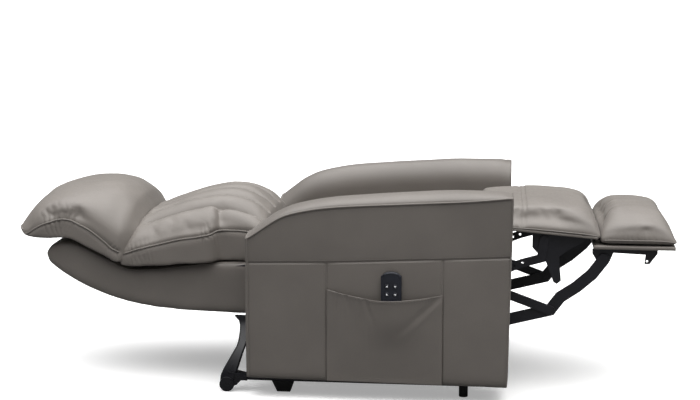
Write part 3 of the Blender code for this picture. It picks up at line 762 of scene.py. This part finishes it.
def make_arm(word, side):
    places = stations(ARM_REAR, ARM_FRONT, 0.012, PANEL_SEAMS + (ARM_REAR + 0.009, ARM_FRONT - 0.009))
    rings = np.array([arm_section(f) for f in places])
    x, z = rings[..., 0].copy(), rings[..., 1].copy()
    f = np.repeat(places[:, None], x.shape[1], axis=1)
    seam = PANEL_TOP(f)

    def dip(distance):
        return SEAM_DEPTH * bell(distance, SEAM_WIDTH) + PUFF_DEPTH * np.exp(-distance / PUFF_WIDTH)

    outer = (x > ARM_OUTER - 1e-6) & (z <= ARM_EDGE(f) + 1e-6)
    hollow = dip(abs(z - seam))
    hollow += sum(dip(abs(f - place)) * ramp(seam - z, 0.0, 0.004) for place in PANEL_SEAMS)
    hollow += PUFF_DEPTH * np.exp(-abs(z - ARM_BOTTOM) / 0.012)
    wave = [noise.noise(Vector((side * 5.0, a * 6.0, b * 6.0))) for a, b in zip(f.ravel(), z.ravel())]
    x = np.where(outer, x - hollow + ARM_WAVE * np.reshape(wave, x.shape), x)
    x = np.minimum(x, ARM_OUTER + 0.001)
    nearest = np.minimum(f - ARM_REAR, ARM_FRONT - f)
    turn = np.clip(1 - nearest / ARM_CORNER, 0.0, 1.0)
    corner = ARM_CORNER * (1 - np.sqrt(1 - turn**2))
    x = ARM_MIDDLE + (x - ARM_MIDDLE) * (1 - corner / ARM_HALF)
    z = z - corner * ramp(z, seam, ARM_CREST(f))
    lean = ARM_LEAN * (1 - (z - ARM_BOTTOM) / LEAN_HEIGHT) * ramp(f, 0.40, ARM_FRONT)
    z = z - (ARM_BOTTOM - arm_low(f)) * (1 - ramp(z, ARM_BOTTOM, 0.26))
    # The arm cover takes the darker leather copy: painted shade.
    skin = loft(f"arm_cover_{word}", at(side * x, f - lean, z), LEATHER_ARM_PAINTED_SHADE, bulge=0.003)
    subdivide(skin)
    undulate(skin, 0.0009, 0.11, 3.0 + side)
    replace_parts(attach(skin, "chassis"), f"arm_{word}")
    trim_arm(word, side, skin)


def trim_arm(word, side, skin):
    rear, front = ARM_REAR + 0.006, ARM_FRONT - 0.003
    run = np.linspace(rear, front, 120)
    top = at(side * (ARM_OUTER - 0.001), run, ARM_EDGE(run))
    down = np.linspace(1.0, 0.0, 60)
    foot = arm_low(front) + 0.005
    heights = foot + (ARM_EDGE(front) - foot) * down
    front_edge = at(side * (ARM_OUTER - 0.001), front - ARM_LEAN * (1 - down), heights)
    rear_heights = ARM_BOTTOM + 0.006 + (ARM_EDGE(rear) - ARM_BOTTOM - 0.006) * down
    rear_edge = at(side * (ARM_OUTER - 0.001), rear + 0.003, rear_heights)
    over = [(x, z) for x, z in arm_section(front) if z > ARM_EDGE(front) or x < ARM_MIDDLE]
    over = np.array([p for p in over if p[1] > ARM_BOTTOM + 0.004])
    arch = at(side * over[:, 0], front - ARM_LEAN * (1 - over[:, 1] / PIPING_HEIGHT), over[:, 1])
    welt(f"arm_piping_{word}", [top, front_edge, rear_edge, arch], skin, "chassis")
    rows = []
    for gap in (-STITCH_GAP, STITCH_GAP):
        rows.append(at(side * ARM_OUTER, run[3:-3], PANEL_TOP(run[3:-3]) + gap))
    for place in PANEL_SEAMS:
        heights = np.linspace(arm_low(place) + 0.008, PANEL_TOP(place) - 0.008, 60)
        for gap in (-STITCH_GAP, STITCH_GAP):
            rows.append(at(side * ARM_OUTER, place + gap, heights))
    stitches(f"arm_stitching_{word}", rows, skin, "chassis")


# ---------------------------------------------------------------- pocket and handset

POCKET_EDGE = spline((-0.021, 0.339), (0.060, 0.322), (0.137, 0.312), (0.220, 0.315), (0.319, 0.328))
POCKET_STAND = 0.0165
POCKET_GATHER = 0.0013
POCKET_PUCKER = 0.0007
POCKET_HEM = 0.0012
HANDSET_BULGE = 0.0085
# Folds: start and end as (forward, height), width, depth.
POCKET_FOLDS = (
    ((0.098, 0.312), (0.122, 0.236), 0.0070, 0.0034),
    ((0.314, 0.318), (0.186, 0.196), 0.0120, 0.0040),
    ((0.040, 0.322), (0.056, 0.262), 0.0080, 0.0022),
)
CLOTH = 0.0014
HANDSET_LOW, HANDSET_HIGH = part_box("handset")
HANDSET_F = -(HANDSET_LOW.y + HANDSET_HIGH.y) / 2


def crease(f, z, start, end, width, depth):
    """A fold between two points: a ridge on one side of the line and a valley on the other."""
    start, end = np.array(start), np.array(end)
    run = end - start
    length = np.linalg.norm(run)
    df, dz = f - start[0], z - start[1]
    share = np.clip((df * run[0] + dz * run[1]) / length**2, 0.0, 1.0)
    away_f, away_z = df - share * run[0], dz - share * run[1]
    side = (df * run[1] - dz * run[0]) / length
    distance = np.hypot(away_f, away_z)
    return -depth * (0.6 + side / width) * bell(distance, width) * (1 - share) ** 0.7


def make_pocket():
    """Gathered cloth pouch sewn into the two panel seams, standing off round the handset."""
    f = np.linspace(PANEL_SEAMS[0], PANEL_SEAMS[1], 118)[None]
    t = np.linspace(0.0, 1.0, 90)[:, None]
    edge = POCKET_EDGE(f)
    low = arm_low(f) + 0.003
    z = low + (edge - low) * t
    s = (f - PANEL_SEAMS[0]) / (PANEL_SEAMS[1] - PANEL_SEAMS[0])
    stand = POCKET_STAND * np.sin(math.pi * s) ** 0.5 * t**1.2
    stand += HANDSET_BULGE * bell(f - HANDSET_F, 0.060) * ramp(z, 0.150, 0.262)
    drop = edge - z
    gather = np.sin(2 * math.pi * f / 0.023 + 9.0 * z) + 0.5 * np.sin(2 * math.pi * f / 0.0137 + 2.0)
    gathered = ramp(f, -0.015, 0.01) * (1 - ramp(f, 0.09, 0.13))
    stand += POCKET_GATHER * gather * np.exp(-drop / 0.05) * gathered
    for fold in POCKET_FOLDS:
        stand += crease(f, z, *fold)
    pucker = 0.5 + 0.5 * np.sin(2 * math.pi * f / 0.0082)
    stand += POCKET_PUCKER * pucker * bell(drop - 0.008, 0.004) + POCKET_HEM * bell(drop, 0.006)
    stand = np.maximum(stand, 0.0006) * np.clip(np.minimum(s, 1 - s) / 0.012, 0.0, 1.0) + 0.0010
    outward = -(ARM_OUTER - 0.0028 + stand)
    # The pocket cloth takes the same darker leather copy: painted shade.
    pouch = cloth_sheet("pocket_cloth", at(outward - CLOTH, f, z), at(outward, f, z), LEATHER_ARM_PAINTED_SHADE)
    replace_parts(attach(pouch, "chassis"), "handset_pocket")
    hem = np.linspace(PANEL_SEAMS[0] + 0.012, PANEL_SEAMS[1] - 0.012, 90)
    stitches("pocket_hem_stitching", [at(-ARM_OUTER - 0.05, hem, POCKET_EDGE(hem) - 0.009)], pouch, "chassis")


def disc_form(name, centre, profile, material, sides=40):
    """Turned form with its axis along -X: profile is (reach outwards, radius) pairs."""
    turns = np.linspace(0, 2 * math.pi, sides, endpoint=False)
    rings = []
    for reach, radius in profile:
        f = centre[1] + radius * np.cos(turns)
        rings.append(at(centre[0] - reach, f, centre[2] + radius * np.sin(turns)))
    obj = loft(name, rings, material, inset=(0.5,))
    return obj


def make_handset_trim():
    """A raised lip round the keypad, and a domed key with an arrow on each button."""
    face_x = HANDSET_LOW.x
    low, high = HANDSET_LOW.z, HANDSET_HIGH.z
    half = (HANDSET_HIGH.y - HANDSET_LOW.y) / 2 - 0.0045
    turns = np.linspace(0, math.pi, 24)
    arch = at(
        face_x - 0.0002,
        HANDSET_F + half * np.sign(np.cos(turns)) * np.abs(np.cos(turns)) ** 0.55,
        high - 0.0150 + 0.0105 * np.sin(turns),
    )
    corners = [at(face_x - 0.0002, [HANDSET_F + way * half], [low + 0.012]) for way in (1.0, -1.0)]
    lip = np.concatenate([corners[0], arch, corners[1], corners[0]])
    points, faces = tube_parts(smooth_path(even_path(lip, 0.002), 2), 0.0010)
    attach(make_object("handset_lip", points, faces, HANDSET, "handset_plastic"), "handset")
    for word, way in (("back_up", 1.0), ("lift_up", 1.0), ("back_down", -1.0), ("lift_down", -1.0)):
        make_key(f"button_{word}", way)


def make_key(node, way):
    low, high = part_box(node)
    f, z = -(low.y + high.y) / 2, (low.z + high.z) / 2
    radius = (high.z - low.z) / 2 - 0.0002
    dome = [(0.0, radius)] + [
        (0.0026 + 0.0016 * math.sin(turn), radius * (0.72 + 0.28 * math.cos(turn)) - 0.0003)
        for turn in np.linspace(0, math.pi / 2, 7)
    ]
    dome += [(0.0043, radius * 0.35)]
    key = disc_form(f"key_{node[7:]}", (high.x, f, z), dome, BUTTON)
    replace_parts(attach(key, node), node)
    x = high.x - 0.0043
    outline = [(-0.0036, -0.0022), (0.0036, -0.0022), (0.0, 0.0036)]
    ring = np.array([(a, b * way) for a, b in outline])
    rings = [at(x - reach, f + ring[:, 0], z + ring[:, 1]) for reach in (-0.0006, 0.0001, 0.0004)]
    rings[-1] = rings[-1].mean(0) + (rings[-1] - rings[-1].mean(0)) * 0.8
    arrow = loft(f"arrow_{node[7:]}", rings, ICON, inset=(0.4,))
    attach(arrow, node)


# ---------------------------------------------------------------- back

BACK_CHANNELS = (-0.190, -0.100, 0.0, 0.100, 0.190)
CHANNEL_HALF = 0.048
CHANNEL_DEPTH = 0.025
BACK_SWELL = 0.024
HEAD_SWELL = 0.026


def make_back_cushion():
    rows = [
        (-0.676, 0.274, 0.366, 0.400, 0.424),
        (-0.655, 0.280, 0.364, 0.408, 0.462),
        (-0.628, 0.283, 0.364, 0.416, 0.482),
        (-0.600, 0.283, 0.366, 0.424, 0.490),
        (-0.541, 0.283, 0.368, 0.440, 0.512),
        (-0.476, 0.283, 0.376, 0.455, 0.534),
        (-0.404, 0.283, 0.379, 0.466, 0.550),
        (-0.388, 0.276, 0.380, 0.470, 0.552),
        (-0.360, 0.246, 0.380, 0.477, 0.554),
        (-0.330, 0.246, 0.381, 0.478, 0.556),
        (-0.274, 0.245, 0.384, 0.474, 0.546),
        (-0.232, 0.241, 0.390, 0.462, 0.522),
        (-0.224, 0.236, 0.396, 0.440, 0.480),
    ]
    cushion, curves = pad("back_cushion_cover", rows, LEATHER_PAINTED_LIGHT)

    def reach(points, facing):
        f = -points[:, 1]
        ends = ramp(f, -0.225, -0.262) * ramp(f, -0.690, -0.630)
        return 0.0035 + (BACK_SWELL - 0.0035) * top_share(facing) * ends

    inflate(cushion, reach)
    subdivide(cushion)
    seams = [seam_path(curves, side, -0.660, -0.232, -0.004) for _, side in SIDES]
    for path in seams:
        pinch(cushion, path, 0.006, 0.009)
    points, facing = coordinates(cushion.data), normals(cushion.data)
    f, x = -points[:, 1], points[:, 0]
    top = top_share(facing, 0.25, 0.7)
    distance = np.min([abs(x - place) for place in BACK_CHANNELS], axis=0)
    t = np.clip(1 - distance / CHANNEL_HALF, 0.0, 0.995)
    drop = CHANNEL_DEPTH * (1 - np.sqrt(1 - t**2))
    length = ramp(f, -0.655, -0.560) * (1 - 0.5 * ramp(f, -0.30, -0.225))
    points[:, 2] -= drop * length * top
    set_coordinates(cushion.data, points)
    for path in seams:
        gathers(cushion, path, 0.0, 0.095, 0.014, 0.0045, 0.016)
        gathers(cushion, path, 0.235, 0.320, 0.021, 0.0050, 0.022)
    for side in (-1.0, 1.0):
        lower = at(side * 0.287, np.linspace(-0.648, -0.560, 30), 0.372)
        gathers(cushion, lower, 0.0, 0.088, 0.013, 0.0050, 0.024)
    relax(cushion, 1)
    undulate(cushion, 0.0012, 0.05, 1.0)
    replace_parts(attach(cushion, "back"), "back_cushion")
    welt("back_piping", seams, cushion, "back")


def make_head_pillow():
    rows = [
        (-0.998, 0.240, 0.467, 0.474, 0.486),
        (-0.972, 0.272, 0.450, 0.458, 0.516),
        (-0.940, 0.280, 0.446, 0.478, 0.542),
        (-0.896, 0.283, 0.446, 0.499, 0.560),
        (-0.843, 0.284, 0.449, 0.511, 0.575),
        (-0.772, 0.284, 0.420, 0.483, 0.582),
        (-0.720, 0.284, 0.396, 0.444, 0.578),
        (-0.675, 0.284, 0.372, 0.412, 0.556),
        (-0.650, 0.264, 0.380, 0.420, 0.535),
        (-0.628, 0.228, 0.400, 0.440, 0.500),
    ]
    pillow, curves = pad("head_pillow_cover", rows, LEATHER_PAINTED_LIGHT)

    def reach(points, facing):
        ends = ramp(points[:, 1], 0.628, 0.690) * (1 - 0.4 * ramp(points[:, 1], 0.930, 0.990))
        return 0.0040 + (HEAD_SWELL - 0.0040) * top_share(facing, 0.0, 0.5) * ends

    inflate(pillow, reach)
    subdivide(pillow)
    seams = [seam_path(curves, side, -0.975, -0.672, -0.004) for _, side in SIDES]
    for path in seams:
        pinch(pillow, path, 0.006, 0.009)
        gathers(pillow, path, 0.070, 0.200, 0.0165, 0.0065, 0.026)
        gathers(pillow, path, 0.300, 0.365, 0.0150, 0.0050, 0.018)
    relax(pillow, 1)
    undulate(pillow, 0.0016, 0.07, 2.0)
    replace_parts(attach(pillow, "back"), "head_pillow")
    across = np.linspace(-0.266, 0.266, 80)
    tip = at(across, -0.992, 0.478)
    welt("head_piping", seams + [tip], pillow, "back")


def make_back_shell():
    outline = [
        (-0.262, 0.218),
        (-0.262, 0.382),
        (-0.391, 0.379),
        (-0.543, 0.358),
        (-0.631, 0.351),
        (-0.662, 0.355),
        (-0.730, 0.388),
        (-0.817, 0.430),
        (-0.858, 0.435),
        (-0.895, 0.424),
        (-0.916, 0.396),
        (-0.905, 0.366),
        (-0.852, 0.327),
        (-0.790, 0.291),
        (-0.722, 0.263),
        (-0.649, 0.243),
        (-0.571, 0.230),
        (-0.493, 0.223),
        (-0.306, 0.216),
    ]
    outline = np.array(outline)
    rings = [at(x, outline[:, 0], outline[:, 1]) for x in np.linspace(-0.2515, 0.2515, 40)]
    shell = loft("back_shell_cover", rings, LEATHER_UNDER)
    remesh(shell, 0.008)
    relax(shell, 14)
    subdivide(shell)
    undulate(shell, 0.0015, 0.12, 5.0)
    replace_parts(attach(shell, "back"), "back_shell")
    edge = outline[1:-1]
    paths = [at(side * 0.248, edge[:, 0], edge[:, 1]) for _, side in SIDES]
    welt("back_shell_seams", paths, shell, "back", radius=0.0016, lift=-0.0004, tidy=14)


# ---------------------------------------------------------------- seat and footrest

SEAT_SWELL = 0.022
REST_SWELL = 0.022
REST_ROUNDING = (0.7, 0.62)


def make_seat():
    rows = [
        (-0.112, 0.240, 0.393, 0.424, 0.432),
        (-0.075, 0.248, 0.392, 0.438, 0.452),
        (0.100, 0.248, 0.392, 0.450, 0.468),
        (0.300, 0.248, 0.392, 0.462, 0.492),
        (0.343, 0.248, 0.392, 0.464, 0.496),
        (0.356, 0.208, 0.392, 0.466, 0.498),
        (0.430, 0.208, 0.392, 0.464, 0.496),
        (0.452, 0.204, 0.394, 0.440, 0.462),
    ]
    seat, _ = pad("seat_cushion_cover", rows, LEATHER_PAINTED_LIGHT)

    def reach(points, facing):
        rear = ramp(-points[:, 1], -0.11, 0.05)
        return 0.0030 + (SEAT_SWELL - 0.0030) * top_share(facing) * (0.25 + 0.75 * rear)

    inflate(seat, reach)
    subdivide(seat)
    across = np.linspace(-0.246, 0.246, 60)
    seam = at(across, 0.120, 0.487)
    pinch(seat, seam, 0.006, 0.008)
    undulate(seat, 0.0015, 0.06, 4.0)
    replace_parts(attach(seat, "chassis"), "seat_cushion")
    stitches("seat_stitching", [seam + (0, gap, 0) for gap in (-0.004, 0.004)], seat, "chassis")


def make_calf_pad():
    """One long pad from the seat's front edge over the knee."""
    rows = [
        (0.392, 0.236, 0.497, 0.504, 0.518),
        (0.410, 0.242, 0.494, 0.504, 0.532),
        (0.450, 0.243, 0.491, 0.503, 0.541),
        (0.511, 0.244, 0.490, 0.502, 0.546),
        (0.579, 0.244, 0.486, 0.498, 0.552),
        (0.659, 0.244, 0.480, 0.492, 0.549),
        (0.729, 0.244, 0.474, 0.486, 0.540),
        (0.768, 0.243, 0.471, 0.481, 0.520),
        (0.782, 0.240, 0.471, 0.478, 0.500),
    ]
    calf, curves = pad("calf_pad_cover", rows, LEATHER_PAINTED_LIGHT, rounding=REST_ROUNDING)

    def reach(points, facing):
        return 0.0025 + (REST_SWELL - 0.0025) * top_share(facing)

    inflate(calf, reach)
    subdivide(calf)
    across = np.linspace(-0.240, 0.240, 60)
    double = [at(across, place, 0.58) for place in (0.543, 0.556)]
    for place in (0.543, 0.556):
        points = coordinates(calf.data)
        shallow = 0.0028 * bell(-points[:, 1] - place, 0.005) * top_share(normals(calf.data), 0.1, 0.6)
        points[:, 2] -= shallow
        set_coordinates(calf.data, points)
    seams = [seam_path(curves, side, 0.420, 0.772, -0.003) for _, side in SIDES]
    for path in seams:
        gathers(calf, path, 0.085, 0.150, 0.012, 0.0030, 0.016)
    undulate(calf, 0.0014, 0.05, 6.0)
    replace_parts(calf, "calf_pad")
    tree = tree_of(calf)
    cord = [snap(even_path(path, 0.006), tree, 0.0004)[0] for path in seams]
    tubes = joined([tube_parts(smooth_path(path), 0.0022) for path in cord])
    piping = make_object("calf_piping", *tubes, LEATHER_EDGE)
    sewn = make_object("calf_stitching", *stitch_parts(double, tree), THREAD)
    for part in (calf, piping, sewn):
        at(0.0, 0.462, 0.50)
        at(0.0, 0.545, 0.50)
        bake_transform(part)


def make_foot_pad():
    rows = [
        (0.778, 0.238, 0.4580, 0.466, 0.494),
        (0.797, 0.242, 0.4575, 0.468, 0.518),
        (0.830, 0.244, 0.4570, 0.469, 0.530),
        (0.889, 0.244, 0.4570, 0.469, 0.531),
        (0.959, 0.244, 0.4570, 0.468, 0.521),
        (0.992, 0.243, 0.4570, 0.466, 0.498),
        (1.005, 0.240, 0.4580, 0.463, 0.470),
    ]
    foot, curves = pad("foot_pad_cover", rows, LEATHER_PAINTED_LIGHT, rounding=REST_ROUNDING)

    def reach(points, facing):
        ends = 1 - 0.7 * ramp(-points[:, 1], 0.970, 1.006)
        return 0.0025 + (REST_SWELL - 0.0025) * top_share(facing) * ends

    inflate(foot, reach)
    subdivide(foot)
    undulate(foot, 0.0014, 0.05, 8.0)
    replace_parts(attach(foot, "footrest"), "foot_pad")
    across = np.linspace(-0.236, 0.236, 60)
    paths = [seam_path(curves, side, 0.790, 1.000, -0.003) for _, side in SIDES]
    paths += [at(across, 1.006, 0.467)]
    for path in paths[:2]:
        gathers(foot, path, 0.0, 0.2, 0.017, 0.0016, 0.018)
    welt("foot_piping", paths, foot, "footrest", radius=0.0022)


def make_rest_boards():
    """Cloth-covered boards under the calf and foot pads."""
    for node, name in (("calf_board", "calf_board_cover"), ("foot_board", "foot_board_cover")):
        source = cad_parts[node].data
        points = coordinates(source)
        low, high = points.min(0), points.max(0)
        f = np.linspace(-high[1], -low[1], 40)
        rings = []
        for place in f:
            if node == "calf_board":
                share = (place - f[0]) / (f[-1] - f[0])
                rise = (high[2] - 0.010 - low[2]) * (1 - share)
                bottom, top = low[2] + rise, low[2] + rise + 0.010
            else:
                bottom, top = low[2], high[2]
            turns = np.linspace(0, 2 * math.pi, 44, endpoint=False)
            c, s = np.cos(turns), np.sin(turns)
            half, thick = high[0] - 0.0005, (top - bottom) / 2 - 0.0003
            x = half * np.sign(c) * np.abs(c) ** 0.06
            z = (top + bottom) / 2 + thick * np.sign(s) * np.abs(s) ** 0.35
            rings.append(at(x, place, z))
        board = loft(name, rings, LEATHER_UNDER)
        undulate(board, 0.0004, 0.06, 9.0)
        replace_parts(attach(board, "footrest"), node)


def make_gusset():
    """Cloth that closes the gap between the seat and the back."""
    f = np.linspace(-0.250, -0.092, 30)
    x = np.linspace(-0.238, 0.238, 40)
    height = spline((-0.250, 0.428), (-0.215, 0.431), (-0.160, 0.427), (-0.092, 0.424))
    grid_f, grid_x = np.meshgrid(f, x, indexing="ij")
    z = height(grid_f) + 0.0012 * np.sin(grid_x * 60.0 + 3.0) * bell(grid_f + 0.17, 0.05)
    top = at(grid_x, grid_f, z)
    gusset = cloth_sheet("seat_back_gusset", top, top - (0.0, 0.0, 0.002), LEATHER_UNDER)
    at(0.0, -0.150, 0.43)
    at(0.0, -0.240, 0.43)
    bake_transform(gusset)


# ---------------------------------------------------------------- scene


def make_stage():
    """A wide pale floor."""
    material = bpy.data.materials.new("pale_floor")
    material.use_nodes = True
    tree = material.node_tree
    shader = tree.nodes["Principled BSDF"]
    shader.inputs["Roughness"].default_value = 0.9
    shader.inputs["Specular IOR Level"].default_value = 0.1
    path = tree.nodes.new("ShaderNodeLightPath")
    tint = tree.nodes.new("ShaderNodeMix")
    tint.data_type = "RGBA"
    named = {socket.identifier: socket for socket in tint.inputs}
    named["A_Color"].default_value = (0.17, 0.17, 0.17, 1.0)
    named["B_Color"].default_value = (0.80, 0.80, 0.80, 1.0)
    tree.links.new(path.outputs["Is Camera Ray"], named["Factor_Float"])
    result = next(o for o in tint.outputs if o.identifier == "Result_Color")
    tree.links.new(result, shader.inputs["Base Color"])
    glow = tree.nodes.new("ShaderNodeMath")
    glow.operation = "MULTIPLY"
    glow.inputs[1].default_value = 0.35
    tree.links.new(path.outputs["Is Camera Ray"], glow.inputs[0])
    tree.links.new(glow.outputs[0], shader.inputs["Emission Strength"])
    mesh = bpy.data.meshes.new("floor")
    size = 60.0
    corners = [(-size, -size, 0.0), (size, -size, 0.0), (size, size, 0.0), (-size, size, 0.0)]
    mesh.from_pydata(corners, [], [(0, 1, 2, 3)])
    mesh.materials.append(material)
    floor = bpy.data.objects.new("floor", mesh)
    floor.location.z = CAD_BOX[0].z - 0.0005
    bpy.context.scene.collection.objects.link(floor)


def make_sky():
    world = bpy.data.worlds.new("studio")
    bpy.context.scene.world = world
    world.use_nodes = True
    tree = world.node_tree
    back = tree.nodes["Background"]
    back.inputs["Color"].default_value = (1.0, 1.0, 1.0, 1.0)
    place = tree.nodes.new("ShaderNodeTexCoord")
    split = tree.nodes.new("ShaderNodeSeparateXYZ")
    strength = tree.nodes.new("ShaderNodeMapRange")
    strength.interpolation_type = "SMOOTHSTEP"
    for key, value in (("From Min", 0.45), ("From Max", 1.0), ("To Min", 0.10), ("To Max", 4.2)):
        strength.inputs[key].default_value = value
    tree.links.new(place.outputs["Generated"], split.inputs[0])
    tree.links.new(split.outputs["Z"], strength.inputs["Value"])
    tree.links.new(strength.outputs[0], back.inputs["Strength"])


def make_light(name, place, target, size, power):
    lamp = bpy.data.lights.new(name, "AREA")
    lamp.energy = power
    lamp.size = size
    lamp.color = (1.0, 0.98, 0.93)
    obj = bpy.data.objects.new(name, lamp)
    obj.location = place
    obj.rotation_euler = (Vector(target) - Vector(place)).to_track_quat("-Z", "Y").to_euler()
    bpy.context.scene.collection.objects.link(obj)


def make_camera():
    data = bpy.data.cameras.new("camera")
    data.sensor_width = 36.0
    data.lens = CAMERA_LENS
    data.clip_end = 200.0
    camera = bpy.data.objects.new("camera", data)
    way = Vector(
        (
            math.cos(CAMERA_TURN) * math.cos(CAMERA_DIP),
            math.sin(CAMERA_TURN) * math.cos(CAMERA_DIP),
            -math.sin(CAMERA_DIP),
        )
    )
    camera.location = CAMERA_PLACE
    camera.rotation_euler = way.to_track_quat("-Z", "Y").to_euler()
    bpy.context.scene.collection.objects.link(camera)
    bpy.context.scene.camera = camera


make_camera()
finish_frame_nodes()
for word, side in SIDES:
    make_arm(word, side)
make_pocket()
make_handset_trim()
make_back_shell()
make_back_cushion()
make_head_pillow()
make_seat()
make_calf_pad()
make_foot_pad()
make_rest_boards()
make_gusset()
make_stage()
make_sky()
make_light("key", (-1.6, -1.2, 3.2), (0.0, 0.0, 0.4), 2.2, 18.0)
bpy.context.scene.view_settings.view_transform = "Standard"
